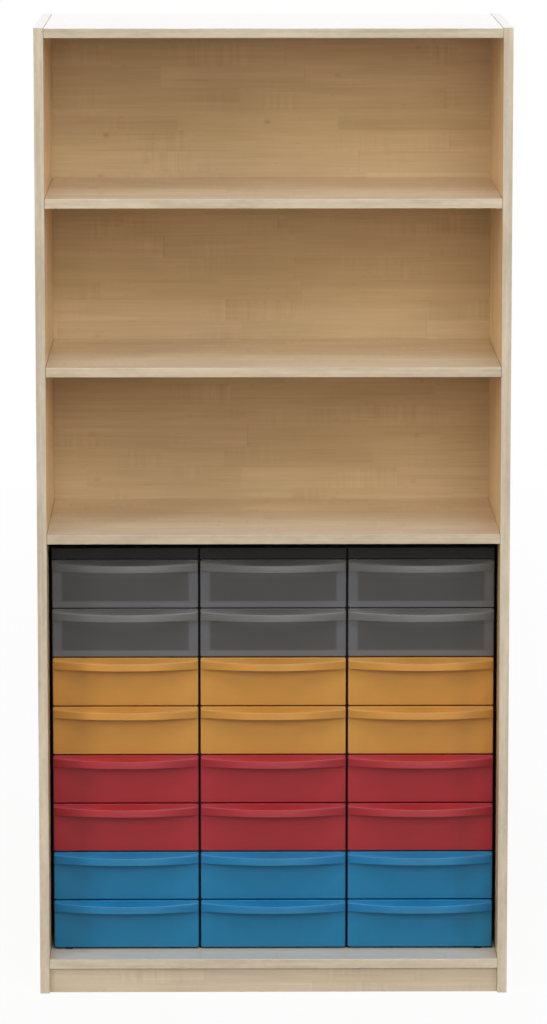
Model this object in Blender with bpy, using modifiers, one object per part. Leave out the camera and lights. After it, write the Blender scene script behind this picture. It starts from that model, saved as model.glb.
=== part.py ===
"""Classroom tray storage unit: a maple board cabinet with three open bays above 24 pull-out trays.

Metres, +Z up. The front faces -Y, and the origin is on the floor under the middle of the cabinet.
Every tray slides out along -Y on a pair of runners in its black housing.
"""
import math

import bmesh
import bpy
from mathutils import Matrix, Vector

# Fits
SEAT_GAP = 0.0003                # between two pieces that touch

# Tray layout
COLUMNS = ("left", "middle", "right")
ROW_COLOURS = ("grey", "grey", "amber", "amber", "red", "red", "blue", "blue")  # top row first
COLUMN_GAP = 0.0049              # between tray fronts side by side
ROW_GAP = 0.0024                 # between tray fronts above each other

# Tray front, measured from the middle of its lower front edge
FRONT_WIDTH = 0.2937
FRONT_HEIGHT = 0.098
FRONT_THICKNESS = 0.003
RETURN_DEPTH = 0.010             # how far the edges of the front turn back
RETURN_THICKNESS = 0.0025

# Bowed handle lip along the top of the tray front
HANDLE_HEIGHT = 0.0225           # from the top of the front down to the lower edge of the lip
HANDLE_STEP = 0.001              # the handle starts this far below the top of the front
HANDLE_FALL = 0.0085             # from the top of the front down to the upper edge of the lip, in the middle
HANDLE_END_FALL = 0.003          # the same at its ends
LIP_REACH = 0.008                # how far the lip stands out at its ends
LIP_BOW = 0.019                  # how much further it stands out in the middle
HANDLE_THICKNESS = 0.0025
HANDLE_SEGMENTS = 8

# Tray tub behind the front
TRAY_LENGTH = 0.375
TUB_LIFT = 0.0105                # underside of the tub above the lower edge of the front
TUB_FLOOR = 0.0025
TUB_WALL = 0.002
TUB_DRAFT = 0.004                # each wall leans in by this much at the floor
TUB_CORNER = 0.012               # radius of the upright corners
CORNER_SEGMENTS = 2
RIM_DROP = 0.010                 # top of the rim below the top of the front
RIM_THICKNESS = 0.0025
REAR_RIM = 0.006                 # how far the rim stands out behind the tub

# Housings that hold the trays
HOUSING_GAP = 0.001              # between neighbouring housings
HOUSING_WALL = 0.0025
HOUSING_STOP_GAP = 0.0005        # between a closed tray front and the housing behind it
HOUSING_REAR_GAP = 0.005         # between the housings and the back panel
RUNNER_REACH = 0.0113
RUNNER_THICKNESS = 0.0025
TUB_CLEARANCE = 0.004            # between a runner and the tub beside it
RIM_CLEARANCE = 0.003            # between the rim and the housing wall
KEEPER_PLAY = 0.0008             # between the rim and the keeper strip above it
KEEPER_THICKNESS = 0.002
COVER_THICKNESS = 0.003
FASCIA_HEIGHT = 0.0218
BASE_LIFT = 0.003                # height of the skids and feet under a housing
BASE_THICKNESS = 0.003
SKID_WIDTH = 0.008
SKID_SPACING = 0.180             # between the middles of the two skids of a base
SKID_END_INSET = 0.040
FOOT_WIDTH = 0.016
FOOT_LENGTH = 0.045
FOOT_SIDE_INSET = 0.031          # middle of a foot from the outer side of the housing
FOOT_FRONT_INSET = 0.001         # front of a front foot behind the tray fronts

# Cabinet boards
BOARD = 0.019
PLINTH_HEIGHT = 0.051
PLINTH_SETBACK = 0.010
REAR_PLINTH_INSET = 0.020
BACK_THICKNESS = 0.008
BACK_INSET = 0.015               # back panel in from the rear edges of the boards
GROOVE_DEPTH = 0.008             # how deep the back panel sits in the boards
TOP_DROP = 0.001                 # top panel below the upper ends of the sides
SHELF_SETBACK = 0.001            # front edges of the level boards behind those of the sides
SHELF_SIDE_GAP = 0.0005          # between a loose shelf and a side
BAY_HEIGHT = 0.317               # clear height of an open bay
TRAY_SETBACK = 0.088             # tray fronts behind the front edges of the sides
TRAY_LIFT = 0.004                # lowest tray fronts above the bottom panel
TRAY_REAR_GAP = 0.012            # between the trays and the back panel
HOUSING_SIDE_GAP = 0.0056        # between the outer housings and the sides
HOUSING_HEADROOM = 0.022         # between the housings and the lower shelf

# Shelf pins
PIN_RADIUS = 0.0025
PIN_DEPTH = 0.009                # how deep a pin sits in the side
PIN_HEAD_RADIUS = 0.0035
PIN_HEAD_LENGTH = 0.009
PIN_INSET = 0.060                # pins from the front and rear edges of a shelf
PIN_SIDES = 12

# Places that follow from the sizes above
COLUMN_PITCH = FRONT_WIDTH + COLUMN_GAP
ROW_PITCH = FRONT_HEIGHT + ROW_GAP
HOUSING_WIDTH = COLUMN_PITCH - HOUSING_GAP
HOUSING_INSIDE = HOUSING_WIDTH / 2 - HOUSING_WALL       # inner face of a housing wall
TUB_HALF_WIDTH = HOUSING_INSIDE - RUNNER_REACH - TUB_CLEARANCE
RIM_HALF_WIDTH = HOUSING_INSIDE - RIM_CLEARANCE
RIM_TOP = FRONT_HEIGHT - RIM_DROP
RIM_UNDERSIDE = RIM_TOP - RIM_THICKNESS

INNER_WIDTH = len(COLUMNS) * COLUMN_PITCH - HOUSING_GAP + 2 * HOUSING_SIDE_GAP
CABINET_WIDTH = INNER_WIDTH + 2 * BOARD
INNER_DEPTH = TRAY_SETBACK + TRAY_LENGTH + TRAY_REAR_GAP
CABINET_DEPTH = INNER_DEPTH + BACK_THICKNESS + BACK_INSET
FRONT_Y = -CABINET_DEPTH / 2
REAR_Y = CABINET_DEPTH / 2
BACK_Y = FRONT_Y + INNER_DEPTH                          # front face of the back panel
TRAY_Y = FRONT_Y + TRAY_SETBACK                         # front faces of the closed trays
HOUSING_FRONT = RETURN_DEPTH + HOUSING_STOP_GAP         # behind the tray fronts
HOUSING_REAR = INNER_DEPTH - TRAY_SETBACK - HOUSING_REAR_GAP

BOTTOM_Z = PLINTH_HEIGHT + BOARD                        # top of the bottom panel
TRAY_Z = BOTTOM_Z + TRAY_LIFT                           # lower edge of the lowest tray fronts
BASE_Z = BOTTOM_Z + BASE_LIFT                           # underside of the housing bases
WALL_Z = BASE_Z + BASE_THICKNESS + SEAT_GAP             # lower end of the housing walls
FASCIA_Z = TRAY_Z + len(ROW_COLOURS) * ROW_PITCH        # lower edge of the fascias
HOUSING_TOP = FASCIA_Z + FASCIA_HEIGHT
WALL_TOP = HOUSING_TOP - COVER_THICKNESS - SEAT_GAP
LOWER_SHELF_Z = HOUSING_TOP + HOUSING_HEADROOM          # underside of the lower shelf
MIDDLE_SHELF_Z = LOWER_SHELF_Z + BOARD + BAY_HEIGHT
UPPER_SHELF_Z = MIDDLE_SHELF_Z + BOARD + BAY_HEIGHT
TOP_Z = UPPER_SHELF_Z + BOARD + BAY_HEIGHT              # underside of the top panel
CABINET_HEIGHT = TOP_Z + BOARD + TOP_DROP

SMOOTH_ANGLE = math.radians(30)

# Base colour (linear), roughness and metallic value of each material
FINISHES = {
    "maple": ((0.58, 0.43, 0.27), 0.45, 0.0),
    "black": ((0.020, 0.020, 0.021), 0.50, 0.0),
    "grey": ((0.095, 0.095, 0.100), 0.30, 0.0),
    "amber": ((0.50, 0.22, 0.045), 0.35, 0.0),
    "red": ((0.34, 0.025, 0.040), 0.35, 0.0),
    "blue": ((0.022, 0.165, 0.33), 0.35, 0.0),
    "pin": ((0.60, 0.60, 0.60), 0.30, 1.0),
}


def clear_scene():
    for old in list(bpy.data.objects):
        bpy.data.objects.remove(old, do_unlink=True)


def make_collection(name):
    collection = bpy.data.collections.new(name)
    bpy.context.scene.collection.children.link(collection)
    return collection


def make_material(name):
    colour, roughness, metallic = FINISHES[name]
    material = bpy.data.materials.new(name)
    material.use_nodes = True
    shader = material.node_tree.nodes["Principled BSDF"]
    shader.inputs["Base Color"].default_value = (*colour, 1.0)
    shader.inputs["Roughness"].default_value = roughness
    shader.inputs["Metallic"].default_value = metallic
    material.diffuse_color = (*colour, 1.0)
    return material


def place(name, data, material, location, parent=None):
    """Add a named part to the model, with its own material."""
    part = bpy.data.objects.new(name, data)
    parts.objects.link(part)
    part.parent = parent
    part.location = location
    if not data.materials:
        data.materials.append(None)
    part.material_slots[0].link = "OBJECT"
    part.material_slots[0].material = materials[material]
    return part


def place_empty(name, location):
    empty = bpy.data.objects.new(name, None)
    parts.objects.link(empty)
    empty.location = location
    return empty


def mesh_from(bm, name):
    mesh = bpy.data.meshes.new(name)
    bm.to_mesh(mesh)
    bm.free()
    return mesh


def box_mesh(name, low, high):
    """A box between two corners."""
    low, high = Vector(low), Vector(high)
    bm = bmesh.new()
    shape = Matrix.Translation((low + high) / 2) @ Matrix.Diagonal((*(high - low), 1.0))
    bmesh.ops.create_cube(bm, size=1.0, matrix=shape)
    return mesh_from(bm, name)


def place_box(name, low, high, material, parent=None):
    """A box part with its origin in its middle."""
    low, high = Vector(low), Vector(high)
    half = (high - low) / 2
    return place(name, box_mesh(name, -half, half), material, low + half, parent)


def place_cutter(name, data):
    cutter = bpy.data.objects.new(name, data)
    cutters.objects.link(cutter)
    cutter.hide_render = True
    cutter.display_type = "WIRE"
    return cutter


def add_boolean(part, other, operation):
    modifier = part.modifiers.new(f"{operation.lower()} {other.name}", "BOOLEAN")
    modifier.operation = operation
    modifier.object = other


def applied_mesh(name, shape):
    """The mesh of a shape with its modifiers applied."""
    depsgraph = bpy.context.evaluated_depsgraph_get()
    mesh = bpy.data.meshes.new_from_object(shape.evaluated_get(depsgraph))
    mesh.name = name
    return mesh


def combined_mesh(name, start, steps):
    """The mesh of a start shape with other shapes joined to it or cut from it in turn."""
    shapes = [place_cutter(start.name, start)]
    for operation, data in steps:
        shapes.append(place_cutter(data.name, data))
        add_boolean(shapes[0], shapes[-1], operation)
    mesh = applied_mesh(name, shapes[0])
    for shape in shapes:
        bpy.data.objects.remove(shape, do_unlink=True)
    return mesh


def tub_mesh(name, half_width, front, rear, floor, top, corner):
    """A block with round upright corners, whose sides and rear lean in towards its floor."""
    bm = bmesh.new()
    bmesh.ops.create_cube(bm, size=2.0)
    upright = [edge for edge in bm.edges if edge.verts[0].co.z * edge.verts[1].co.z < 0]
    for vert in bm.verts:
        lean = TUB_DRAFT if vert.co.z < 0 else 0.0
        vert.co.x *= half_width - lean
        vert.co.y = front if vert.co.y < 0 else rear - lean
        vert.co.z = floor if vert.co.z < 0 else top
    bmesh.ops.bevel(bm, geom=upright, offset=corner, segments=CORNER_SEGMENTS, profile=0.5, affect="EDGES")
    return mesh_from(bm, name)


def handle_mesh():
    """The hood of the handle: a slope that falls to a lip, and both bow out in the middle."""
    bm = bmesh.new()
    bmesh.ops.create_grid(bm, x_segments=HANDLE_SEGMENTS, y_segments=2, size=1.0)
    for vert in bm.verts:
        across, strip = vert.co.x, round(vert.co.y)
        bow = 1 - across ** 2
        fall = HANDLE_END_FALL + (HANDLE_FALL - HANDLE_END_FALL) * bow
        drop = {1: HANDLE_STEP, 0: fall, -1: HANDLE_HEIGHT}[strip]
        lip = -LIP_REACH - LIP_BOW * bow
        root = FRONT_THICKNESS / 2
        vert.co = (across * FRONT_WIDTH / 2, root if strip > 0 else lip, FRONT_HEIGHT - drop)
    sheet = place_cutter("handle_sheet", mesh_from(bm, "handle_sheet"))
    solidify = sheet.modifiers.new("wall", "SOLIDIFY")
    solidify.thickness = HANDLE_THICKNESS
    solidify.offset = -1.0
    solidify.use_even_offset = True
    mesh = applied_mesh("handle", sheet)
    bpy.data.objects.remove(sheet, do_unlink=True)
    return mesh


def handle_end_mesh(side):
    """The web that closes one end of the hood."""
    outer = side * FRONT_WIDTH / 2
    near, far = sorted((outer, outer - side * HANDLE_THICKNESS))
    low = (near, -LIP_REACH + HANDLE_THICKNESS / 2, FRONT_HEIGHT - HANDLE_HEIGHT)
    high = (far, FRONT_THICKNESS / 2, FRONT_HEIGHT - HANDLE_END_FALL - HANDLE_STEP)
    return box_mesh(f"handle_end {side}", low, high)


def tray_mesh():
    """One tray: front with its edges turned back, handle, tub, and the rim that rides on the runners."""
    half = FRONT_WIDTH / 2
    front = box_mesh("front", (-half, 0, 0), (half, RETURN_DEPTH, FRONT_HEIGHT))
    inside = half - RETURN_THICKNESS
    pocket = box_mesh("pocket", (-inside, FRONT_THICKNESS, RETURN_THICKNESS),
                      (inside, 2 * RETURN_DEPTH, FRONT_HEIGHT - RETURN_THICKNESS))
    joint = FRONT_THICKNESS / 2
    tub_rear = TRAY_LENGTH - REAR_RIM
    tub = tub_mesh("tub", TUB_HALF_WIDTH, joint, tub_rear, TUB_LIFT, RIM_TOP - RIM_THICKNESS / 2, TUB_CORNER)
    rim = box_mesh("rim", (-RIM_HALF_WIDTH, joint, RIM_UNDERSIDE), (RIM_HALF_WIDTH, TRAY_LENGTH, RIM_TOP))
    hollow = tub_mesh("hollow", TUB_HALF_WIDTH - TUB_WALL, FRONT_THICKNESS, tub_rear - TUB_WALL,
                      TUB_LIFT + TUB_FLOOR, RIM_TOP + RIM_THICKNESS, TUB_CORNER - TUB_WALL)
    joined = [tub, rim, handle_mesh(), handle_end_mesh(-1), handle_end_mesh(1)]
    steps = [("DIFFERENCE", pocket), *(("UNION", piece) for piece in joined), ("DIFFERENCE", hollow)]
    mesh = combined_mesh("tray", front, steps)
    mesh.shade_smooth()
    mesh.set_sharp_from_angle(angle=SMOOTH_ANGLE)
    return mesh


def runner_strips():
    """Lower and upper side of each runner, under the rim of a tray, and of the keeper strip above it."""
    strips = []
    for row in range(len(ROW_COLOURS)):
        tray = TRAY_Z + row * ROW_PITCH
        runner_top = tray + RIM_UNDERSIDE - SEAT_GAP
        keeper_low = tray + RIM_TOP + KEEPER_PLAY
        strips += [(runner_top - RUNNER_THICKNESS, runner_top), (keeper_low, keeper_low + KEEPER_THICKNESS)]
    return strips


def wall_mesh(side):
    """A housing wall with its strips: a section in rectangles, pushed through from front to rear."""
    outer = side * HOUSING_WIDTH / 2
    inner = side * HOUSING_INSIDE
    reach = inner - side * RUNNER_REACH
    strips = runner_strips()
    levels = [WALL_Z, *(level for strip in strips for level in strip), WALL_TOP]
    fields = [(inner, outer, low, high) for low, high in zip(levels, levels[1:])]
    fields += [(reach, inner, low, high) for low, high in strips]
    bm = bmesh.new()
    for near, far, low, high in fields:
        corners = ((near, low), (far, low), (far, high), (near, high))
        bm.faces.new([bm.verts.new((x, HOUSING_FRONT, z)) for x, z in corners])
    bmesh.ops.remove_doubles(bm, verts=bm.verts, dist=SEAT_GAP / 10)
    pushed = bmesh.ops.extrude_face_region(bm, geom=bm.faces[:])["geom"]
    for vert in pushed:
        if isinstance(vert, bmesh.types.BMVert):
            vert.co.y = HOUSING_REAR
    bmesh.ops.recalc_face_normals(bm, faces=bm.faces)
    return mesh_from(bm, "housing_wall")


def place_housing(column, parent):
    """One black housing: two walls, a cover with the fascia over the trays, and a base on skids."""
    for side_name, side in (("left", -1), ("right", 1)):
        place(f"{column}_housing_{side_name}_wall", wall_mesh(side), "black", (0, 0, 0), parent)
    half = HOUSING_WIDTH / 2
    plate = box_mesh("plate", (-half, HOUSING_FRONT, HOUSING_TOP - COVER_THICKNESS),
                     (half, HOUSING_REAR, HOUSING_TOP))
    face = FRONT_WIDTH / 2
    fascia = box_mesh("fascia", (-face, 0, FASCIA_Z), (face, RETURN_DEPTH, HOUSING_TOP))
    bridge = box_mesh("bridge", (-face, RETURN_DEPTH / 2, HOUSING_TOP - COVER_THICKNESS),
                      (face, 2 * HOUSING_FRONT, HOUSING_TOP))
    cover = combined_mesh("cover", plate, [("UNION", bridge), ("UNION", fascia)])
    place(f"{column}_housing_cover", cover, "black", (0, 0, 0), parent)

    base = box_mesh("base", (-half, HOUSING_FRONT, BASE_Z), (half, HOUSING_REAR, BASE_Z + BASE_THICKNESS))
    skids = []
    for side in (-1, 1):
        middle = side * SKID_SPACING / 2
        low = (middle - SKID_WIDTH / 2, HOUSING_FRONT + SKID_END_INSET, BOTTOM_Z + SEAT_GAP)
        high = (middle + SKID_WIDTH / 2, HOUSING_REAR - SKID_END_INSET, BASE_Z + BASE_THICKNESS / 2)
        skids.append(("UNION", box_mesh(f"skid {side}", low, high)))
    place(f"{column}_housing_base", combined_mesh("base", base, skids), "black", (0, 0, 0), parent)


def place_feet(parent, column, side):
    """The two low feet under the outer side of an outer housing."""
    middle = side * (HOUSING_WIDTH / 2 - FOOT_SIDE_INSET)
    starts = {"front": FOOT_FRONT_INSET, "rear": HOUSING_REAR - FOOT_LENGTH}
    for end, start in starts.items():
        low = (middle - FOOT_WIDTH / 2, start, BOTTOM_Z + SEAT_GAP)
        high = (middle + FOOT_WIDTH / 2, start + FOOT_LENGTH, BASE_Z - SEAT_GAP)
        place_box(f"{end}_{column}_foot", low, high, "black", parent)


def place_columns():
    """The three housings side by side, each with its trays, row 1 at the top."""
    tray = tray_mesh()
    outer_side = {0: -1, len(COLUMNS) - 1: 1}
    for index, column in enumerate(COLUMNS):
        middle = (index - (len(COLUMNS) - 1) / 2) * COLUMN_PITCH
        stand = place_empty(f"{column}_column", (middle, TRAY_Y, 0))
        place_housing(column, stand)
        if index in outer_side:
            place_feet(stand, column, outer_side[index])
        for row, colour in enumerate(ROW_COLOURS, start=1):
            lower_edge = TRAY_Z + (len(ROW_COLOURS) - row) * ROW_PITCH
            place(f"{column}_tray_{row}", tray, colour, (0, 0, lower_edge), stand)


def place_level_board(name, underside, rear, side_gap):
    half = INNER_WIDTH / 2 - side_gap
    low = (-half, FRONT_Y + SHELF_SETBACK, underside)
    return place_box(name, low, (half, rear, underside + BOARD), "maple")


def place_cabinet():
    """The boards of the cabinet, and the groove that holds the back panel."""
    inner = INNER_WIDTH / 2
    sides = {}
    for name, side in (("left", -1), ("right", 1)):
        near, far = sorted((side * inner, side * (inner + BOARD)))
        sides[side] = place_box(f"{name}_side", (near, FRONT_Y, 0), (far, REAR_Y, CABINET_HEIGHT), "maple")
    top = place_level_board("top_panel", TOP_Z, REAR_Y, SEAT_GAP)
    bottom = place_level_board("bottom_panel", PLINTH_HEIGHT, REAR_Y, SEAT_GAP)
    shelf_rear = BACK_Y - SEAT_GAP
    place_level_board("lower_shelf", LOWER_SHELF_Z, shelf_rear, SEAT_GAP)
    place_level_board("middle_shelf", MIDDLE_SHELF_Z, shelf_rear, SHELF_SIDE_GAP)
    place_level_board("upper_shelf", UPPER_SHELF_Z, shelf_rear, SHELF_SIDE_GAP)

    plinth_half = inner - SEAT_GAP
    plinth_top = PLINTH_HEIGHT - SEAT_GAP
    for name, front in (("front_plinth", FRONT_Y + PLINTH_SETBACK),
                        ("rear_plinth", REAR_Y - REAR_PLINTH_INSET - BOARD)):
        place_box(name, (-plinth_half, front, 0), (plinth_half, front + BOARD, plinth_top), "maple")

    back_low = Vector((-inner - GROOVE_DEPTH, BACK_Y, BOTTOM_Z - GROOVE_DEPTH))
    back_high = Vector((inner + GROOVE_DEPTH, BACK_Y + BACK_THICKNESS, TOP_Z + GROOVE_DEPTH))
    place_box("back_panel", back_low, back_high, "maple")
    margin = Vector((SEAT_GAP, SEAT_GAP, SEAT_GAP))
    groove = place_cutter("back_groove", box_mesh("back_groove", back_low - margin, back_high + margin))
    for board in (*sides.values(), top, bottom):
        add_boolean(board, groove, "DIFFERENCE")
    return sides


def pin_mesh():
    """A turned shelf pin: the thin end goes into the side, and the shelf lies on the head."""
    profile = [(0, PIN_DEPTH), (PIN_RADIUS, PIN_DEPTH), (PIN_RADIUS, 0), (PIN_HEAD_RADIUS, 0),
               (PIN_HEAD_RADIUS, -PIN_HEAD_LENGTH), (0, -PIN_HEAD_LENGTH)]
    bm = bmesh.new()
    verts = [bm.verts.new((radius, 0, height)) for radius, height in profile]
    for first, second in zip(verts, verts[1:]):
        bm.edges.new((first, second))
    return mesh_from(bm, "shelf_pin")


def hole_mesh():
    """The hole for a pin in the side, which starts just outside the face of the board."""
    depth = PIN_DEPTH + 2 * SEAT_GAP
    bm = bmesh.new()
    bmesh.ops.create_cone(bm, cap_ends=True, segments=PIN_SIDES, radius1=PIN_RADIUS + SEAT_GAP,
                          radius2=PIN_RADIUS + SEAT_GAP, depth=2 * depth)
    return mesh_from(bm, "pin_hole")


def place_pins(sides):
    """Four pins under each loose shelf, two in each side."""
    pin, hole = pin_mesh(), hole_mesh()
    ends = {"front": FRONT_Y + SHELF_SETBACK + PIN_INSET, "rear": BACK_Y - SEAT_GAP - PIN_INSET}
    shelves = {"middle_shelf": MIDDLE_SHELF_Z, "upper_shelf": UPPER_SHELF_Z}
    for shelf, underside in shelves.items():
        height = underside - SEAT_GAP - PIN_HEAD_RADIUS
        for side_name, side in (("left", -1), ("right", 1)):
            for end, y in ends.items():
                face = side * INNER_WIDTH / 2
                name = f"{shelf}_{end}_{side_name}_pin"
                part = place(name, pin, "pin", (face - side * SEAT_GAP, y, height))
                part.rotation_euler.y = side * math.pi / 2
                screw = part.modifiers.new("turn", "SCREW")
                screw.steps = screw.render_steps = PIN_SIDES
                screw.use_merge_vertices = True
                screw.merge_threshold = 0.00001
                cutter = place_cutter(f"{name}_hole", hole)
                cutter.location = (face, y, height)
                cutter.rotation_euler.y = math.pi / 2
                add_boolean(sides[side], cutter, "DIFFERENCE")


clear_scene()
parts = make_collection("classroom_tray_unit")
cutters = make_collection("cutters")
materials = {name: make_material(name) for name in FINISHES}
place_pins(place_cabinet())
place_columns()
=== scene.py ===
"""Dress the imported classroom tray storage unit: moulded trays, maple boards, black housings, studio.

Metres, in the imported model's frame: X across, Y to the back, Z up, origin on the floor.
"""
import math

import bmesh
import bpy
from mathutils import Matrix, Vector


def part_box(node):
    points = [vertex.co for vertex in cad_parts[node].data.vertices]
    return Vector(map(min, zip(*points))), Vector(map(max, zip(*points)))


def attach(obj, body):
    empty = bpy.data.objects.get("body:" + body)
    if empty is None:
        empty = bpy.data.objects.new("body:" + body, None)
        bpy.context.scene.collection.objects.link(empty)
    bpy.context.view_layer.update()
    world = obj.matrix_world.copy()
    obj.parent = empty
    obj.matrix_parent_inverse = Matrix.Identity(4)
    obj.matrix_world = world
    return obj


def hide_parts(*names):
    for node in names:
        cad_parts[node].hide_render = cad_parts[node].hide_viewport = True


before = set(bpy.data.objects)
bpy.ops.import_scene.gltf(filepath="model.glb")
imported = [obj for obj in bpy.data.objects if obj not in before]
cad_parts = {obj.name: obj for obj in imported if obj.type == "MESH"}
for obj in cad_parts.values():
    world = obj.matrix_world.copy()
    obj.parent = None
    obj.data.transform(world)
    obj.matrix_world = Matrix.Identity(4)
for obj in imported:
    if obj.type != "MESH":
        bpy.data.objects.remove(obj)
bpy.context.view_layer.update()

COLUMNS = ("left", "middle", "right")
ROW_COLOURS = ("grey", "grey", "amber", "amber", "red", "red", "blue", "blue")  # top row first

# Tray moulding, measured from the middle of the lower edge of its front
PLATE_THICKNESS = 0.003
PLATE_CORNER = 0.0035            # radius of the corners, seen from the front
PLATE_EDGE = 0.0016              # radius of the edge round the front
RETURN_DEPTH = 0.010             # how far the edges of the front turn back
RETURN_THICKNESS = 0.0025
HOOD_HEIGHT = 0.0225             # from the top of the front down to the lower edge of the lip
HOOD_STEP = 0.001                # the hood starts this far below the top of the front
HOOD_INSET = 0.0003              # and ends this far inside its sides
HOOD_FALL = 0.0085               # from the top of the front down to the crease, in the middle
HOOD_END_FALL = 0.0046           # the same at the ends
HOOD_STATIONS = 40
LIP_REACH = 0.008                # how far the lip stands out at its ends
LIP_BOW = 0.019                  # how much further it stands out in the middle
LIP_LEAN = 0.0020                # how far its lower edge stands out from the crease, in the middle
LIP_END_RISE = 0.0012            # how far its lower edge rises towards the ends
LIP_CORNER = 0.0020              # radius of its ends, seen from above
LIP_CORNER_STEPS = 3
LIP_THICKNESS = 0.0025
CREASE = 0.0025                  # radius of the crease between slope and lip, in the middle
END_CREASE = 0.0060              # the same at the ends
CREASE_STEPS = 6
TUB_LIFT = 0.0105                # underside of the tub above the lower edge of the front
TUB_WALL = 0.002
TUB_LAP = 0.0005                 # the inside of the tub starts this far behind the plate
TUB_FLOOR = 0.0025
TUB_HALF_WIDTH = 0.131
TUB_DRAFT = 0.004                # the side and rear walls lean in by this much at the floor
TUB_CORNER = 0.012
TUB_FILLET = 0.005               # radius between the walls and the floor
RIM_HALF_WIDTH = 0.1433
RIM_DROP = 0.010                 # top of the rim below the top of the front
RIM_THICKNESS = 0.0025
RIM_EDGE = 0.0006                # radius of the edges of the rim
REAR_RIM = 0.006                 # how far the rim stands out behind the tub
LEAST_RADIUS = 0.0006            # a corner that shrinks with its wall keeps at least this
CORNER_STEPS = 5
EDGE_STEPS = 3
SMOOTH_ANGLE = math.radians(32)

# Edge rounding of the carried-over solids
BOARD_EDGE = 0.0008
PLASTIC_EDGE = 0.0005
ROUNDING_STEPS = 2
WELD = 0.00001


def new_object(name, data):
    """An object that is linked to the scene."""
    thing = bpy.data.objects.new(name, data)
    bpy.context.scene.collection.objects.link(thing)
    return thing


def box_middle(node):
    """The middle of a CAD node's box."""
    low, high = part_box(node)
    return (low + high) / 2


def build_mesh(name, verts, faces):
    """A mesh from points and faces, with its normals outside."""
    mesh = bpy.data.meshes.new(name)
    mesh.from_pydata(verts, [], faces)
    bm = bmesh.new()
    bm.from_mesh(mesh)
    bmesh.ops.recalc_face_normals(bm, faces=bm.faces)
    bm.to_mesh(mesh)
    bm.free()
    return mesh


def loft(name, rings):
    """A closed mesh through rings of equally many points, with a flat face at either end."""
    count = len(rings[0])
    verts = [point for ring in rings for point in ring]
    faces = [tuple(range(count)), tuple(range(len(verts) - count, len(verts)))]
    for start in range(0, len(verts) - count, count):
        for i in range(count):
            j = (i + 1) % count
            faces.append((start + i, start + j, start + count + j, start + count + i))
    return build_mesh(name, verts, faces)


def round_rectangle(low_u, high_u, low_v, high_v, radius):
    """Points round a rectangle with round corners, as pairs."""
    centres = ((high_u - radius, high_v - radius, 0), (low_u + radius, high_v - radius, 1),
               (low_u + radius, low_v + radius, 2), (high_u - radius, low_v + radius, 3))
    points = []
    for u, v, quarter in centres:
        for step in range(CORNER_STEPS + 1):
            angle = (quarter + step / CORNER_STEPS) * math.pi / 2
            points.append((u + radius * math.cos(angle), v + radius * math.sin(angle)))
    return points


def quarter_steps(radius):
    """Pairs (in, along) down a quarter round: in falls from the radius to 0, along grows to the radius."""
    pairs = []
    for step in range(EDGE_STEPS + 1):
        angle = step / EDGE_STEPS * math.pi / 2
        pairs.append((radius * (1 - math.sin(angle)), radius * (1 - math.cos(angle))))
    return pairs


def plate_mesh(width, height):
    """Front of a tray: a plate with a rounded edge, whose rim turns back."""
    half = width / 2

    def ring(inset, y, corner):
        """Outline of the plate at one depth."""
        outline = round_rectangle(-half + inset, half - inset, inset, height - inset, corner)
        return [(x, y, z) for x, z in outline]

    inner_corner = PLATE_CORNER - RETURN_THICKNESS
    rings = []
    for inset, y in quarter_steps(PLATE_EDGE):
        rings.append(ring(inset, y, max(PLATE_CORNER - inset, LEAST_RADIUS)))
    rings.append(ring(0, RETURN_DEPTH, PLATE_CORNER))
    rings.append(ring(RETURN_THICKNESS, RETURN_DEPTH, inner_corner))
    rings.append(ring(RETURN_THICKNESS, PLATE_THICKNESS, inner_corner))
    return loft("plate", rings)


def hood_places(half, corner):
    """Places along the hood, closer together where its ends turn back."""
    straight = half - corner
    turns = [straight + corner * math.sin(step / LIP_CORNER_STEPS * math.pi / 2)
             for step in range(1, LIP_CORNER_STEPS + 1)]
    between = [straight * (2 * station / HOOD_STATIONS - 1) for station in range(HOOD_STATIONS + 1)]
    return [-x for x in reversed(turns)] + between + turns


def hood_mesh(name, width, height, shell):
    """The bowed hood of the handle as a solid bar, or with a shell thickness the space inside it."""
    half = width / 2 - HOOD_INSET - shell
    corner = max(LIP_CORNER - shell, LEAST_RADIUS)
    root = PLATE_THICKNESS / 2 + shell
    top = height - HOOD_STEP - shell
    rings = []
    for x in hood_places(half, corner):
        bow = 1 - (x / (width / 2)) ** 2
        radius = max(CREASE + (END_CREASE - CREASE) * (1 - bow) - shell, LEAST_RADIUS)
        turned = max(abs(x) - (half - corner), 0.0)
        turn_back = corner - math.sqrt(max(corner ** 2 - turned ** 2, 0.0))
        reach = LIP_REACH + LIP_BOW * bow - turn_back - shell
        lean = LIP_LEAN * reach / (LIP_REACH + LIP_BOW)
        crease = height - HOOD_END_FALL - (HOOD_FALL - HOOD_END_FALL) * bow - shell

        # The space inside goes on below the lip, so that the cut leaves it open
        bottom = height - HOOD_HEIGHT + LIP_END_RISE * (1 - bow) - 2 * shell

        # Normals of the slope and of the lip, and the round between them
        first = math.pi / 2 + math.atan2(top - crease, root + reach - lean)
        last = math.pi - math.atan2(lean, crease - bottom)
        halfway = (first + last) / 2
        off = radius / math.cos((last - first) / 2)
        ring = [(x, root, bottom), (x, root, top)]
        for step in range(CREASE_STEPS + 1):
            angle = first + step / CREASE_STEPS * (last - first)
            ring.append((x, -reach + lean - off * math.cos(halfway) + radius * math.cos(angle),
                         crease - off * math.sin(halfway) + radius * math.sin(angle)))
        ring.append((x, -reach, bottom))
        rings.append(ring)
    return loft(name, rings)


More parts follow.
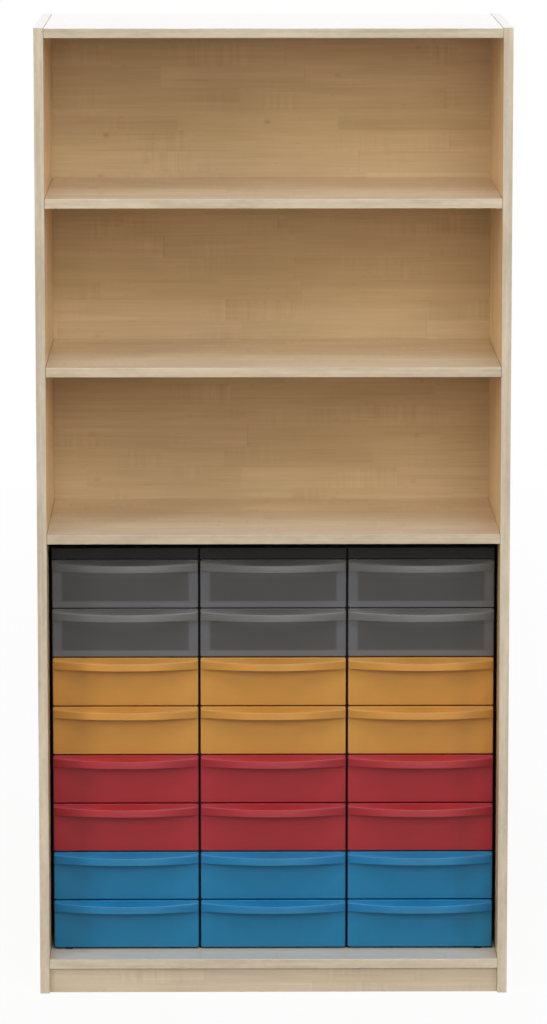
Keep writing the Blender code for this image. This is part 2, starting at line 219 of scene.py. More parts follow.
def tub_mesh(length, height):
    """Tub and rim in one skin: up the inside, over the rim, and down the outside."""
    rim_top = height - RIM_DROP
    rear = length - REAR_RIM
    joint = PLATE_THICKNESS / 2
    depth = rim_top - TUB_LIFT

    def ring(half, front, back, z, corner):
        """Outline at one height."""
        return [(x, y, z) for x, y in round_rectangle(-half, half, front, back, corner)]

    def wall(z, inset, front):
        """Outline of the leaning walls at one height."""
        lean = TUB_DRAFT * (rim_top - z) / depth + inset
        return ring(TUB_HALF_WIDTH - lean, front, rear - lean, z, TUB_CORNER - inset)

    floor_top = TUB_LIFT + TUB_FLOOR
    inner_fillet = TUB_FILLET - TUB_WALL
    inner_front = PLATE_THICKNESS + TUB_LAP
    rings = []
    for inset, rise in quarter_steps(inner_fillet):
        rings.append(wall(floor_top + rise, TUB_WALL + inset, inner_front + inset))
    for inset, drop in reversed(quarter_steps(RIM_EDGE)):
        rings.append(wall(rim_top - drop, TUB_WALL - inset, inner_front))
    for inset, drop in quarter_steps(RIM_EDGE):
        rings.append(ring(RIM_HALF_WIDTH - inset, joint, length - inset, rim_top - drop, TUB_CORNER))
    rings.append(ring(RIM_HALF_WIDTH, joint, length, rim_top - RIM_THICKNESS, TUB_CORNER))
    rings.append(wall(rim_top - RIM_THICKNESS, 0, joint))
    for inset, rise in reversed(quarter_steps(TUB_FILLET)):
        rings.append(wall(TUB_LIFT + rise, inset, joint))
    return loft("tub", rings)


def joined_mesh(name, start, steps):
    """The start mesh with other meshes joined to it or cut from it, in turn."""
    base = new_object(name, start)
    tools = []
    for operation, mesh in steps:
        tool = new_object(mesh.name, mesh)
        modifier = base.modifiers.new(mesh.name, "BOOLEAN")
        modifier.operation = operation
        modifier.object = tool
        tools.append(tool)
    depsgraph = bpy.context.evaluated_depsgraph_get()
    result = bpy.data.meshes.new_from_object(base.evaluated_get(depsgraph))
    for used in (base, *tools):
        bpy.data.objects.remove(used, do_unlink=True)
    result.name = name
    return result


def tray_mesh(width, height, length):
    """One tray as a single moulding: front, hood, tub and rim."""
    hood = joined_mesh("hood", hood_mesh("hood_outside", width, height, 0.0),
                       [("DIFFERENCE", hood_mesh("hood_inside", width, height, LIP_THICKNESS))])
    additions = [("UNION", hood), ("UNION", tub_mesh(length, height))]
    mesh = joined_mesh("tray", plate_mesh(width, height), additions)
    mesh.shade_smooth()
    mesh.set_sharp_from_angle(angle=SMOOTH_ANGLE)
    return mesh


# Materials: sockets of a mix node that mixes colours, and where most values of a noise lie
MIX_FACTOR = 0
MIX_COLOURS = (6, 7)
MIX_RESULT = 2
NOISE_MEAN = 0.5
NOISE_SPAN = (0.3, 0.7)
BUMP_STRENGTH = 0.10


def add(tree, kind, inputs=None, **settings):
    """A new node; an input's value is a number, a colour or another node's socket."""
    node = tree.nodes.new(kind)
    for key, value in settings.items():
        setattr(node, key, value)
    for key, value in (inputs or {}).items():
        if isinstance(value, bpy.types.NodeSocket):
            tree.links.new(value, node.inputs[key])
        else:
            node.inputs[key].default_value = value
    return node


def new_material(name):
    """An empty node material, with its tree and shader."""
    material = bpy.data.materials.new(name)
    material.use_nodes = True
    tree = material.node_tree
    return material, tree, tree.nodes["Principled BSDF"]


def math_node(tree, operation, *values):
    """The result of an operation on numbers or sockets."""
    return add(tree, "ShaderNodeMath", dict(enumerate(values)), operation=operation).outputs[0]


def parts(tree, vector):
    """The X, Y and Z of a vector."""
    return add(tree, "ShaderNodeSeparateXYZ", {"Vector": vector}).outputs


def stretched(tree, vector, scale):
    """A vector scaled along its axes."""
    return add(tree, "ShaderNodeVectorMath", {0: vector, 1: scale}, operation="MULTIPLY").outputs[0]


def shifted(tree, vector, shift, amounts):
    """A vector moved by a shift, in different amounts along its axes."""
    inputs = {0: shift, 1: amounts, 2: vector}
    return add(tree, "ShaderNodeVectorMath", inputs, operation="MULTIPLY_ADD").outputs[0]


def noise(tree, vector, scale=1.0, detail=2.0, roughness=0.5, distortion=0.0):
    """Smooth noise, around its mean."""
    inputs = {"Vector": vector, "Scale": scale, "Detail": detail, "Roughness": roughness,
              "Distortion": distortion}
    return add(tree, "ShaderNodeTexNoise", inputs).outputs["Fac"]


def white_noise(tree, dimensions, **inputs):
    """Random outputs, the same for the same inputs."""
    return add(tree, "ShaderNodeTexWhiteNoise", inputs, noise_dimensions=dimensions).outputs


def mapped(tree, value, low, high, to_low=0.0, to_high=1.0):
    """A value carried from one range to another, held at its ends."""
    inputs = {"Value": value, "From Min": low, "From Max": high, "To Min": to_low, "To Max": to_high}
    return add(tree, "ShaderNodeMapRange", inputs).outputs["Result"]


def weighted(tree, values, weights):
    """The sum of values times their weights."""
    total = 0.0
    for value, weight in zip(values, weights):
        total = math_node(tree, "MULTIPLY_ADD", value, weight, total)
    return total


def mixed(tree, factor, first, second, blend="MIX"):
    """A colour between two others, or blended from them."""
    node = add(tree, "ShaderNodeMix", {MIX_FACTOR: factor}, data_type="RGBA", blend_type=blend)
    for index, value in zip(MIX_COLOURS, (first, second)):
        if isinstance(value, bpy.types.NodeSocket):
            tree.links.new(value, node.inputs[index])
        else:
            node.inputs[index].default_value = (*value, 1.0)
    return node.outputs[MIX_RESULT]


def multiplied(tree, first, second):
    """The product of two colours."""
    return mixed(tree, 1.0, first, second, "MULTIPLY")


def bump(tree, shader, height, distance):
    """Fine relief of a shader's surface."""
    inputs = {"Height": height, "Strength": BUMP_STRENGTH, "Distance": distance}
    node = add(tree, "ShaderNodeBump", inputs)
    tree.links.new(node.outputs["Normal"], shader.inputs["Normal"])


# Maple: darker and lighter tone of each kind of board and of the edge bands, and tints over them; the
# warmer tones inside the bays and at the shelves' rear are painted shade and bounce light, the shelves'
# paler front painted light
MAPLE_TONES = {
    "standing": ((0.680, 0.475, 0.255), (0.875, 0.640, 0.375)),
    "outer": ((0.625, 0.480, 0.315), (0.800, 0.635, 0.440)),
    "level": ((0.522, 0.436, 0.332), (0.655, 0.562, 0.460)),
    "level_shaded_rear": ((0.666, 0.499, 0.276), (0.836, 0.640, 0.382)),
    "top": ((0.590, 0.450, 0.300), (0.760, 0.600, 0.425)),
    "bottom": ((0.700, 0.625, 0.520), (0.800, 0.720, 0.610)),
    "back": ((0.532, 0.380, 0.194), (0.703, 0.524, 0.294)),
    "plinth": ((0.420, 0.345, 0.244), (0.545, 0.451, 0.325)),
}
BAND_TONES = ((0.419, 0.351, 0.262), (0.556, 0.471, 0.358))
LEVEL_BAND_SHADING = ((0.93, 0.90, 0.85), (1.04, 1.03, 1.01))  # painted shade: darker at the lower shelf, lighter at the upper shelf
WOOD_TINTS = ((1.012, 0.988, 1.02), (0.992, 1.006, 0.97))
MARK_TONE = (0.20, 0.115, 0.055)
LEVEL_LIT_FRONT = -0.20              # a level board has its paler front tone, painted light, up to this Y
LEVEL_SHADED_REAR = 0.10                # and its warmer rear tone, painted shade, from here on
BAND_FACING = 0.7                # a face that looks less than this along the thickness is banded
UP_FACING = 0.9                  # a face that looks up more than this is an upper end
BOARD_ROUGHNESS = (0.18, 0.26)
TOP_ROUGHNESS = (0.08, 0.14)
TOP_COAT = 1.0
BOTTOM_COAT = 0.5
FIBRE_RELIEF = 0.0003

# Staves
STAVE_HEIGHT = 0.044
SHORT_STAVE = 0.24
STAVE_SPREAD = 0.34              # the longest stave is this much longer than the shortest
STAVE_START = 17.0               # a row of staves starts up to this many staves further along
STAVE_SHIFT = (3.1, 1.7, 2.3)    # how far the noise is moved from stave to stave

# Noise in the maple: scale along the grain, scale across it, detail, roughness and distortion
WOOD_NOISES = {
    "streaks": (2.0, 30.0, 3.0, 0.5, 0.8),
    "threads": (5.0, 190.0, 2.0, 0.6, 0.0),
    "fibre": (14.0, 420.0, 2.0, 0.6, 0.0),
    "clouds": (3.5, 9.0, 2.0, 0.5, 0.0),
    "ripple": (130.0, 7.0, 2.0, 0.5, 0.0),
    "ripple_patches": (6.0, 12.0, 0.0, 0.5, 0.0),
    "drift": (2.6, 6.5, 1.0, 0.5, 0.0),
    "flecks": (60.0, 240.0, 1.0, 0.5, 0.0),
    "band_streaks": (2.5, 130.0, 3.0, 0.5, 0.6),
    "band_blotches": (13.0, 60.0, 2.0, 0.5, 0.0),
    "band_specks": (55.0, 130.0, 1.0, 0.5, 0.0),
}
TONE_WEIGHTS = (0.34, 0.24, 0.10, 0.09, 0.30, 0.34)  # streaks, threads, fibre, stave, clouds, ripple
TONE_RANGE = (0.36, 0.71)
RIPPLE_RANGE = (0.54, 0.74)
HUE_WEIGHTS = (0.25, 0.75)       # stave, drift
HUE_RANGE = (0.28, 0.72)
BAND_WEIGHTS = (0.6, 0.6, 0.50, 0.26)  # streaks, drift, blotches, specks
BAND_RANGE = (0.78, 1.18)

# Dark marks in the maple
KNOT_CELLS = (6.0, 9.0, 1.0)     # cells to the metre, each with room for one knot
KNOT_BEND = (0.012, 0.010, 0.0)  # how far the fibre bends the outline of a knot
KNOT_RANGE = (0.01, 0.06)        # how far its dark middle and its edge are from its centre, in cells
NO_KNOT = 0.70                   # share of the cells without a knot
STAVE_END = 0.004                # length of the dark end of a stave
NO_STAVE_END = 0.60              # share of the staves without one
FLECK_RANGE = (0.68, 0.82)
MARK_WEIGHTS = (0.34, 0.22, 0.16)  # knots, stave ends, flecks


def stave_pattern(tree, lengthwise, across):
    """Staves of random length: three random numbers for each one, and the distance from its end."""
    row = math_node(tree, "FLOOR", math_node(tree, "DIVIDE", across, STAVE_HEIGHT))
    row_random = white_noise(tree, "1D", W=row)["Value"]
    length = math_node(tree, "MULTIPLY_ADD", row_random, STAVE_SPREAD, SHORT_STAVE)
    start = math_node(tree, "MULTIPLY", row_random, STAVE_START)
    run = math_node(tree, "ADD", math_node(tree, "DIVIDE", lengthwise, length), start)
    cell = add(tree, "ShaderNodeCombineXYZ", {"X": row, "Y": math_node(tree, "FLOOR", run)}).outputs[0]
    random = white_noise(tree, "2D", Vector=cell)["Color"]
    from_end = math_node(tree, "MULTIPLY", math_node(tree, "FRACT", run), length)
    return random, from_end


def wood_noise(tree, vector, name):
    """One of the noises in the maple."""
    along, across, detail, roughness, distortion = WOOD_NOISES[name]
    place = stretched(tree, vector, (along, across, 1.0))
    return noise(tree, place, detail=detail, roughness=roughness, distortion=distortion)


def wood_tone(tree, grain, lines, stave, fibre):
    """Where the wood is darker (0) or lighter (1)."""
    streaks = wood_noise(tree, grain, "streaks")
    threads = wood_noise(tree, grain, "threads")
    clouds = wood_noise(tree, lines, "clouds")
    ripple = math_node(tree, "SUBTRACT", wood_noise(tree, grain, "ripple"), NOISE_MEAN)
    rippled = mapped(tree, wood_noise(tree, grain, "ripple_patches"), *RIPPLE_RANGE)
    ripple = math_node(tree, "MULTIPLY", ripple, rippled)
    tone = weighted(tree, (streaks, threads, fibre, stave, clouds, ripple), TONE_WEIGHTS)
    return mapped(tree, tone, *TONE_RANGE)


def band_colour(tree, kind, lines, drift, height):
    """Paler bands on the edges of a board, each strip in one length."""
    streaks = wood_noise(tree, lines, "band_streaks")
    blotches = wood_noise(tree, lines, "band_blotches")
    specks = wood_noise(tree, lines, "band_specks")
    tone = weighted(tree, (streaks, drift, blotches, specks), BAND_WEIGHTS)
    band = mixed(tree, mapped(tree, tone, *BAND_RANGE), *BAND_TONES)
    # Painted shade: the shelves' bands darker towards the lower shelf
    if kind == "level":
        up = mapped(tree, height, box_middle("lower_shelf").z, box_middle("upper_shelf").z)
        band = multiplied(tree, band, mixed(tree, up, *LEVEL_BAND_SHADING))
    return band


def wood_marks(tree, grain, lines, fibre, stave, from_end, edge):
    """How dark the marks are: small knots, the ends of some staves away from the bands, and flecks."""
    bent = shifted(tree, lines, fibre, KNOT_BEND)
    inputs = {"Vector": stretched(tree, bent, KNOT_CELLS), "Scale": 1.0}
    cells = add(tree, "ShaderNodeTexVoronoi", inputs, voronoi_dimensions="2D").outputs
    chosen = parts(tree, cells["Color"])["X"]
    knot = math_node(tree, "MULTIPLY", mapped(tree, cells["Distance"], *KNOT_RANGE, 1.0, 0.0),
                     mapped(tree, chosen, NO_KNOT, 1.0))
    joint = math_node(tree, "MULTIPLY", mapped(tree, from_end, 0.0, STAVE_END, 1.0, 0.0),
                      mapped(tree, stave, NO_STAVE_END, 1.0))
    joint = math_node(tree, "MULTIPLY", joint, math_node(tree, "SUBTRACT", 1.0, edge))
    fleck = mapped(tree, wood_noise(tree, grain, "flecks"), *FLECK_RANGE)
    return weighted(tree, (knot, joint, fleck), MARK_WEIGHTS)


def maple(kind, along, thickness, roughness=BOARD_ROUGHNESS, coat=0.0, outer_from=None):
    """Maple decor with staves: the grain runs along one axis, and the edges are banded with paler strips.

    Further out than outer_from along the thickness, the board has the tone of the outside; inside, its
    warmer tone is painted shade and bounce light.
    """
    material, tree, shader = new_material(f"maple_{kind}")
    coordinates = add(tree, "ShaderNodeTexCoord").outputs
    axes = parts(tree, coordinates["Object"])
    facing = parts(tree, coordinates["Normal"])
    others = [axis for axis in "XYZ" if axis != along]
    across = math_node(tree, "ADD", axes[others[0]], axes[others[1]])
    lines = add(tree, "ShaderNodeCombineXYZ", {"X": axes[along], "Y": across}).outputs[0]
    random, from_end = stave_pattern(tree, axes[along], across)
    stave = parts(tree, random)
    grain = shifted(tree, lines, random, STAVE_SHIFT)
    fibre = wood_noise(tree, grain, "fibre")
    drift = wood_noise(tree, lines, "drift")

    # Wood, its tone inside the bays painted shade and bounce light, with a painted-shade rear and a
    # painted-light front on a level board, the board's own tone on the outside, and slight changes of hue
    tone = wood_tone(tree, grain, lines, stave["X"], fibre)
    wood = mixed(tree, tone, *MAPLE_TONES[kind])
    # Painted shade: warmer towards the rear of a level board, with a paler front of painted light
    if kind == "level":
        rear = mapped(tree, axes["Y"], LEVEL_LIT_FRONT, LEVEL_SHADED_REAR)
        wood = mixed(tree, rear, wood, mixed(tree, tone, *MAPLE_TONES["level_shaded_rear"]))
    if outer_from is not None:
        outside = math_node(tree, "GREATER_THAN", math_node(tree, "ABSOLUTE", axes[thickness]), outer_from)
        wood = mixed(tree, outside, wood, mixed(tree, tone, *MAPLE_TONES["outer"]))
    hue = mapped(tree, weighted(tree, (stave["Y"], drift), HUE_WEIGHTS), *HUE_RANGE)
    wood = multiplied(tree, wood, mixed(tree, hue, *WOOD_TINTS))

    # Bands on the edges, and dark marks over all of it
    edge = math_node(tree, "LESS_THAN", math_node(tree, "ABSOLUTE", facing[thickness]), BAND_FACING)
    colour = mixed(tree, edge, wood, band_colour(tree, kind, lines, drift, axes["Z"]))
    marks = wood_marks(tree, grain, lines, fibre, stave["Z"], from_end, edge)
    colour = mixed(tree, marks, colour, MARK_TONE)

    tree.links.new(colour, shader.inputs["Base Color"])
    tree.links.new(mapped(tree, fibre, *NOISE_SPAN, *roughness), shader.inputs["Roughness"])
    bump(tree, shader, fibre, FIBRE_RELIEF)
    if kind == "standing":
        upper_end = math_node(tree, "GREATER_THAN", facing["Z"], UP_FACING)
        tree.links.new(upper_end, shader.inputs["Coat Weight"])
    else:
        shader.inputs["Coat Weight"].default_value = coat
    return material


# Moulded plastic
CLOUD_SCALE = 14.0               # clouds to the metre
GRAIN_SCALE = 1400.0             # grains to the metre
CLOUD_GLOSS = 0.08               # how much the clouds add to the roughness
GRAIN_GLOSS = 0.06               # by how much the grain changes it
GRAIN_RELIEF = 0.0002
BLACK = (0.0205, 0.0193, 0.0178)
BLACK_ROUGHNESS = 0.42
BLACK_VARIATION = 0.10
BLACK_SPECULAR = 0.15


def plastic(name, colour, roughness, variation, specular):
    """Moulded plastic: a finely grained skin with slight changes of tone and gloss."""
    material, tree, shader = new_material(name)
    position = add(tree, "ShaderNodeTexCoord").outputs["Object"]
    cloud = noise(tree, position, scale=CLOUD_SCALE, detail=3.0)
    grain = noise(tree, position, scale=GRAIN_SCALE, detail=1.0)
    dark = tuple(channel * (1 - variation) for channel in colour)
    light = tuple(channel * (1 + variation) for channel in colour)
    tone = mixed(tree, mapped(tree, cloud, *NOISE_SPAN), dark, light)
    tree.links.new(tone, shader.inputs["Base Color"])
    gloss = math_node(tree, "MULTIPLY_ADD", grain, GRAIN_GLOSS, roughness - GRAIN_GLOSS / 2)
    gloss = math_node(tree, "MULTIPLY_ADD", cloud, CLOUD_GLOSS, gloss)
    tree.links.new(gloss, shader.inputs["Roughness"])
    shader.inputs["Specular IOR Level"].default_value = specular
    bump(tree, shader, grain, GRAIN_RELIEF)
    return material, tree, shader, tone


# Tray plastic: tones of the front, and of the hood's slope and lip in the middle and at the ends; the
# hood's tones are painted light and shade: a lit slope with painted glints at its ends, and painted shading
# at the lip's ends
TRAY_TONES = {
    "grey": {
        # The darker tone before the tub is painted shade of the tub's dim inside, seen through the front
        "shaded_window": (0.0390, 0.0376, 0.0369), "border": (0.0755, 0.0755, 0.0812),
        # The edge tone is painted light in the gaps between rows; the tub tone is the plastic of the tub
        # behind
        "sill": (0.092, 0.092, 0.099), "edge": (0.240, 0.240, 0.253), "tub": (0.070, 0.070, 0.075),
        "slope": (0.092, 0.093, 0.097), "slope_end_glint": (0.145, 0.148, 0.155),
        "lip": (0.072, 0.071, 0.069), "lip_end_shading": (0.078, 0.077, 0.076),
    },
    "amber": {
        "front": (0.430, 0.202, 0.039),
        "slope": (0.453, 0.208, 0.042), "slope_end_glint": (0.475, 0.243, 0.065),
        "lip": (0.432, 0.201, 0.037), "lip_end_shading": (0.345, 0.160, 0.028),
    },
    "red": {
        "front": (0.272, 0.0170, 0.0230),
        "slope": (0.325, 0.0215, 0.0250), "slope_end_glint": (0.335, 0.0360, 0.0560),
        "lip": (0.282, 0.0210, 0.0275), "lip_end_shading": (0.220, 0.0100, 0.0150),
    },
    "blue": {
        "front": (0.0075, 0.140, 0.282),
        "slope": (0.0085, 0.158, 0.352), "slope_end_glint": (0.0170, 0.180, 0.390),
        "lip": (0.0100, 0.138, 0.280), "lip_end_shading": (0.0040, 0.115, 0.260),
    },
}
WHITE = (1.0, 1.0, 1.0)
TRAY_VARIATION = 0.05
GREY_GLOSS = (0.32, 0.6)         # roughness and specular level
COLOURED_GLOSS = (0.34, 0.3)
HOOD_BEFORE = -PLATE_EDGE / 4    # what lies before this Y is the hood
FRONT_BEFORE = PLATE_EDGE / 2    # and what lies before this one, the front
LIP_FACING = -0.9                # Y of the normal of the lip
SLOPE_FACING = -0.6              # and of the slope
END_SHADING_START = 0.15                # the hood keeps its middle tone this far from the middle, as a share of the width, then changes to its painted glints and shading at the ends

# See-through look of a grey tray, painted: shade of the tub's inside behind the front, light in the gaps
# and under the lip
WINDOW_SIDE = 0.0190             # border of the front beside the tub behind it, left and right
WINDOW_BOTTOM = 0.0135           # the same below the tub
WINDOW_SOFT = 0.005              # width of the blurred edge between the two
LIT_EDGE_STRIP = 0.0012              # width of the edge that turns back, painted lighter: painted light in the dark gaps between rows
LIT_EDGE_FACING = -0.35              # a face that looks less to the front than this belongs to it
SHADE_SLOPE = 0.47               # how far the shade of the lip falls for each metre that the lip stands out
SHADE_START = 0.5                # the painted light in the lip's shade is even down to here, as a share of that
SHADE_END = 1.7                  # and has faded here
PAINTED_LIGHT_AT_ENDS = 0.40             # how much brighter the painted light makes the lip's shade
PAINTED_LIGHT_IN_MIDDLE = 2.1


def smoky_front(tree, axes, sideways, facing, tones, width, height):
    """A painted see-through front: darker before the tub as painted shade of its inside, with its edges and
    the lip's shade lightened by painted light.
    """
    # Painted shade: darker where the tub's dim inside would show through
    inset = math_node(tree, "SUBTRACT", width / 2 - WINDOW_SIDE, sideways)
    rise = math_node(tree, "SUBTRACT", axes["Z"], WINDOW_BOTTOM)
    inside = math_node(tree, "SMOOTH_MIN", inset, rise, WINDOW_SOFT)
    shaded_window = mapped(tree, inside, -WINDOW_SOFT / 2, WINDOW_SOFT / 2)
    above_sill = mapped(tree, rise, -WINDOW_SOFT / 2, WINDOW_SOFT / 2)
    border = mixed(tree, above_sill, tones["sill"], tones["border"])
    front = mixed(tree, shaded_window, border, tones["shaded_window"])

    # Painted light in the lip's shade on the front, standing in for light through the see-through lip
    share = math_node(tree, "DIVIDE", sideways, width / 2)
    bow = math_node(tree, "SUBTRACT", 1.0, math_node(tree, "MULTIPLY", share, share))
    reach = math_node(tree, "MULTIPLY_ADD", bow, LIP_BOW, LIP_REACH)
    lip_bottom = math_node(tree, "MULTIPLY_ADD", bow, -LIP_END_RISE, height - HOOD_HEIGHT + LIP_END_RISE)
    fall = math_node(tree, "MULTIPLY", reach, SHADE_SLOPE)
    down = math_node(tree, "DIVIDE", math_node(tree, "SUBTRACT", lip_bottom, axes["Z"]), fall)
    shade = mapped(tree, down, SHADE_START, SHADE_END, 1.0, 0.0)
    on_front = math_node(tree, "MULTIPLY", math_node(tree, "LESS_THAN", axes["Y"], FRONT_BEFORE),
                         math_node(tree, "GREATER_THAN", down, 0.0))
    shade = math_node(tree, "MULTIPLY", math_node(tree, "MULTIPLY", shade, shade), on_front)
    light = mapped(tree, bow, 0.0, 1.0, PAINTED_LIGHT_AT_ENDS, PAINTED_LIGHT_IN_MIDDLE)
    front = multiplied(tree, front, math_node(tree, "MULTIPLY_ADD", shade, light, 1.0))

    # Edge that turns back, painted lighter as painted light in the gaps between rows, and the tub behind it
    up_or_down = math_node(tree, "MINIMUM", axes["Z"], math_node(tree, "SUBTRACT", height, axes["Z"]))
    from_edge = math_node(tree, "MINIMUM", math_node(tree, "SUBTRACT", width / 2, sideways), up_or_down)
    turned = math_node(tree, "MULTIPLY", math_node(tree, "LESS_THAN", from_edge, LIT_EDGE_STRIP),
                       math_node(tree, "GREATER_THAN", facing, LIT_EDGE_FACING))
    front = mixed(tree, turned, front, tones["edge"])
    behind = math_node(tree, "GREATER_THAN", axes["Y"], RETURN_DEPTH)
    return mixed(tree, behind, front, tones["tub"])


def tray_plastic(name, tones, roughness, specular, width, height):
    """Tray plastic: the hood has painted light and shade that change to its ends, and a grey tray has a
    painted see-through front.
    """
    material, tree, shader, variation = plastic(name, WHITE, roughness, TRAY_VARIATION, specular)
    coordinates = add(tree, "ShaderNodeTexCoord").outputs
    axes = parts(tree, coordinates["Object"])
    sideways = math_node(tree, "ABSOLUTE", axes["X"])
    facing = parts(tree, coordinates["Normal"])["Y"]
    if "shaded_window" in tones:
        front = smoky_front(tree, axes, sideways, facing, tones, width, height)
    else:
        front = tones["front"]
    # Painted light and shade on the hood: the slope lit, with glints at its ends, and the lip's painted
    # shading changing to its ends
    end = mapped(tree, sideways, END_SHADING_START * width, width / 2)
    slope = mixed(tree, end, tones["slope"], tones["slope_end_glint"])
    lip = mixed(tree, end, tones["lip"], tones["lip_end_shading"])
    hood = mixed(tree, mapped(tree, facing, LIP_FACING, SLOPE_FACING, 1.0, 0.0), slope, lip)
    body = mixed(tree, math_node(tree, "LESS_THAN", axes["Y"], HOOD_BEFORE), front, hood)
    tree.links.new(multiplied(tree, body, variation), shader.inputs["Base Color"])
    return material


# Zinc
ZINC_TONES = ((0.52, 0.52, 0.51), (0.68, 0.68, 0.67))
ZINC_ROUGHNESS = (0.25, 0.40)
TURNING_MARKS = (2500.0, 400.0, 400.0)


def steel(name):
    """Bright zinc for the shelf pins, with fine turning marks."""
    material, tree, shader = new_material(name)
    position = add(tree, "ShaderNodeTexCoord").outputs["Object"]
    marks = noise(tree, stretched(tree, position, TURNING_MARKS))
    tree.links.new(mixed(tree, marks, *ZINC_TONES), shader.inputs["Base Color"])
    tree.links.new(mapped(tree, marks, *NOISE_SPAN, *ZINC_ROUGHNESS), shader.inputs["Roughness"])
    shader.inputs["Metallic"].default_value = 1.0
    return material


def finish_node(name, material, edge):
    """A carried-over solid: soft edges and its own material."""
    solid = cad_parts[name]
    solid.data.materials.clear()
    solid.data.materials.append(material)
    weld = solid.modifiers.new("weld", "WELD")
    weld.merge_threshold = WELD
    rounding = solid.modifiers.new("edges", "BEVEL")
    rounding.width = edge
    rounding.segments = ROUNDING_STEPS
    rounding.limit_method = "ANGLE"
    rounding.harden_normals = True
    return solid


# Boards: the grain runs along the length of each one, and across the back
standing_maple = maple("standing", "Z", "X", outer_from=box_middle("right_side").x)
level_maple = maple("level", "X", "Z")
top_maple = maple("top", "X", "Z", roughness=TOP_ROUGHNESS, coat=TOP_COAT)
bottom_maple = maple("bottom", "X", "Z", coat=BOTTOM_COAT)
back_maple = maple("back", "X", "Y", outer_from=box_middle("back_panel").y)
plinth_maple = maple("plinth", "X", "Y")
BOARDS = {
    "left_side": standing_maple, "right_side": standing_maple,
    "top_panel": top_maple, "upper_shelf": level_maple, "middle_shelf": level_maple,
    "lower_shelf": level_maple, "bottom_panel": bottom_maple,
    "front_plinth": plinth_maple, "rear_plinth": plinth_maple, "back_panel": back_maple,
}
for board, board_finish in BOARDS.items():
    finish_node(board, board_finish, BOARD_EDGE)

# Housings, feet and shelf pins
black = plastic("black_plastic", BLACK, BLACK_ROUGHNESS, BLACK_VARIATION, BLACK_SPECULAR)[0]
zinc = steel("zinc")
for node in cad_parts:
    if "_housing_" in node or node.endswith("_foot"):
        finish_node(node, black, PLASTIC_EDGE)
    elif node.endswith("_pin"):
        finish_node(node, zinc, PLASTIC_EDGE)

# Trays: one moulding, in the colour of its row
tray_low, tray_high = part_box("middle_tray_1")
tray_width = tray_high.x - tray_low.x
tray_height = tray_high.z - tray_low.z
tray_length = tray_high.y - tray_low.y - LIP_REACH - LIP_BOW
tray_plastics = {}
for colour, tones in TRAY_TONES.items():
    gloss = GREY_GLOSS if colour == "grey" else COLOURED_GLOSS
    tray_plastics[colour] = tray_plastic(f"{colour}_plastic", tones, *gloss, tray_width, tray_height)
moulding = tray_mesh(tray_width, tray_height, tray_length)
moulding.materials.append(None)
for column in COLUMNS:
    for row, colour in enumerate(ROW_COLOURS, start=1):
        node = f"{column}_tray_{row}"
        low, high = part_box(node)
        tray = new_object(f"{node}_moulding", moulding)
        tray.location = ((low.x + high.x) / 2, low.y + LIP_REACH + LIP_BOW, low.z)
        tray.material_slots[0].link = "OBJECT"
        tray.material_slots[0].material = tray_plastics[colour]
        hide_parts(node)
        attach(tray, node)

# Floor: pale paper that keeps the shadow near the object and goes to the white of the background far off
HALF_FLOOR = 60.0
NEAR_FLOOR = 1.5
FAR_FLOOR = 7.0
NEAR_GLOW = 0.92
PAPER = (0.80, 0.80, 0.80)
PAPER_ROUGHNESS = 0.9
floor_corners = [(x * HALF_FLOOR, y * HALF_FLOOR, 0) for x, y in ((-1, -1), (1, -1), (1, 1), (-1, 1))]
floor_mesh = build_mesh("floor", floor_corners, [(0, 1, 2, 3)])
floor = new_object("floor", floor_mesh)
paper, paper_tree, paper_shader = new_material("studio_paper")
paper_shader.inputs["Base Color"].default_value = (*PAPER, 1.0)
paper_shader.inputs["Roughness"].default_value = PAPER_ROUGHNESS
glow = add(paper_tree, "ShaderNodeEmission", {"Color": (*WHITE, 1.0), "Strength": 1.0})
rays = add(paper_tree, "ShaderNodeLightPath").outputs
spot = add(paper_tree, "ShaderNodeTexCoord").outputs["Object"]
away = add(paper_tree, "ShaderNodeVectorMath", {0: spot}, operation="LENGTH").outputs["Value"]
share = mapped(paper_tree, away, NEAR_FLOOR, FAR_FLOOR, NEAR_GLOW, 1.0)
seen = math_node(paper_tree, "MULTIPLY", rays["Is Camera Ray"], share)
shaders = {0: seen, 1: paper_shader.outputs[0], 2: glow.outputs[0]}
surface = add(paper_tree, "ShaderNodeMixShader", shaders).outputs[0]
paper_tree.links.new(surface, paper_tree.nodes["Material Output"].inputs["Surface"])
floor_mesh.materials.append(paper)

# World: soft light from all round, white where the camera or a gloss looks at it
AMBIENT = 0.06
world = bpy.data.worlds.new("studio")
bpy.context.scene.world = world
world.use_nodes = True
sky = world.node_tree
background = sky.nodes["Background"]
background.inputs["Color"].default_value = (*WHITE, 1.0)
sky_rays = add(sky, "ShaderNodeLightPath").outputs
direct = math_node(sky, "MAXIMUM", sky_rays["Is Camera Ray"], sky_rays["Is Transmission Ray"])
direct = math_node(sky, "MAXIMUM", direct, sky_rays["Is Glossy Ray"])
sky.links.new(mapped(sky, direct, 0.0, 1.0, AMBIENT, 1.0), background.inputs["Strength"])

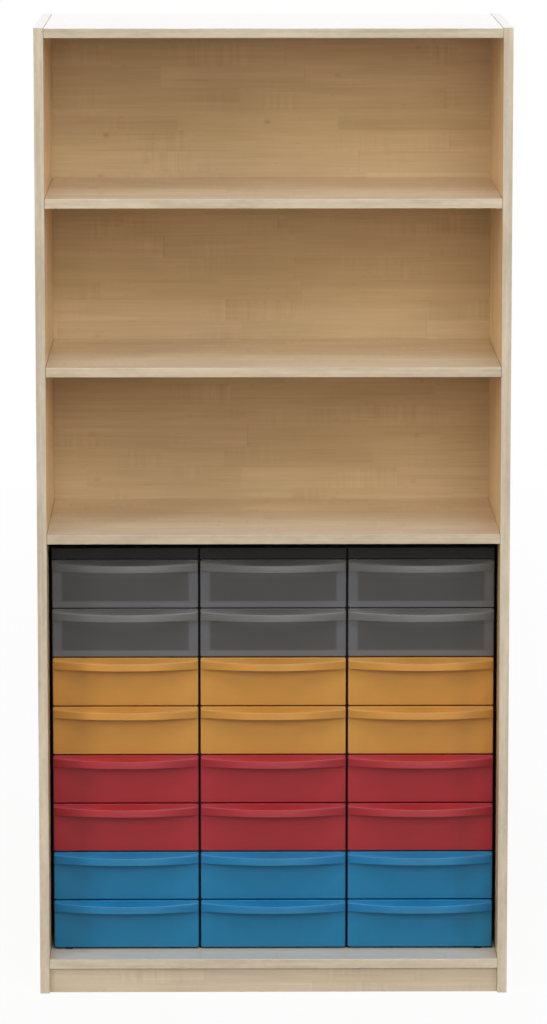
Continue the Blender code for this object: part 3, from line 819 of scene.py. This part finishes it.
# Lamps: name, place, width, height, power and colour
BEAM = math.radians(100)
LOOK_AT = (0, 0, 1.0)
WARM = (1.0, 0.99, 0.975)
MIDDLE_LAMPS = (
    ("front_softbox", (1.2, -9.3, 4.6), 4.8, 4.0, 84, (0.99, 0.99, 0.98)),
    ("overhead_softbox", (0, -3.3, 6.5), 4.0, 2.4, 64, WARM),
)
SIDE_LAMPS = (
    ("left_softbox", (-6.8, -6.6, 4.3), 2.4, 4.5, 116, (1.0, 0.975, 0.93)),
    ("right_softbox", (6.8, -6.6, 4.3), 2.4, 4.5, 76, (0.97, 0.99, 1.0)),
    ("rear_left_softbox", (-6.0, 7.0, 4.3), 2.4, 4.5, 95, WARM),
    ("rear_right_softbox", (6.0, 7.0, 4.3), 2.4, 4.5, 95, WARM),
)


def area_light(name, location, width, height, power, colour):
    """A softbox that is turned to the object and isn't seen by the camera."""
    light = bpy.data.lights.new(name, "AREA")
    light.shape = "RECTANGLE"
    light.size = width
    light.size_y = height
    light.spread = BEAM
    light.energy = power
    light.color = colour
    lamp = new_object(name, light)
    lamp.location = location
    aim = Vector(LOOK_AT) - Vector(location)
    lamp.rotation_euler = aim.to_track_quat("-Z", "Y").to_euler()
    lamp.visible_camera = False
    return lamp


for settings in MIDDLE_LAMPS:
    area_light(*settings)
for settings in SIDE_LAMPS:  # without mirror images, which would whiten the glossy top
    area_light(*settings).visible_glossy = False

# Camera at the photograph's viewpoint
CAMERA_PLACE = (-0.0896, -10.0789, 2.5343)
CAMERA_TILT = 0.1562             # downwards, in radians
CAMERA_TURN = 0.0091             # to the right, in radians
SENSOR_WIDTH = 36.0              # in millimetres, like the lens
LENS = 175.42
camera = new_object("camera", bpy.data.cameras.new("camera"))
camera.location = CAMERA_PLACE
camera.rotation_euler = (math.pi / 2 - CAMERA_TILT, 0.0, -CAMERA_TURN)
camera.data.sensor_width = SENSOR_WIDTH
camera.data.lens = LENS
bpy.context.scene.camera = camera

bpy.context.scene.view_settings.view_transform = "Standard"
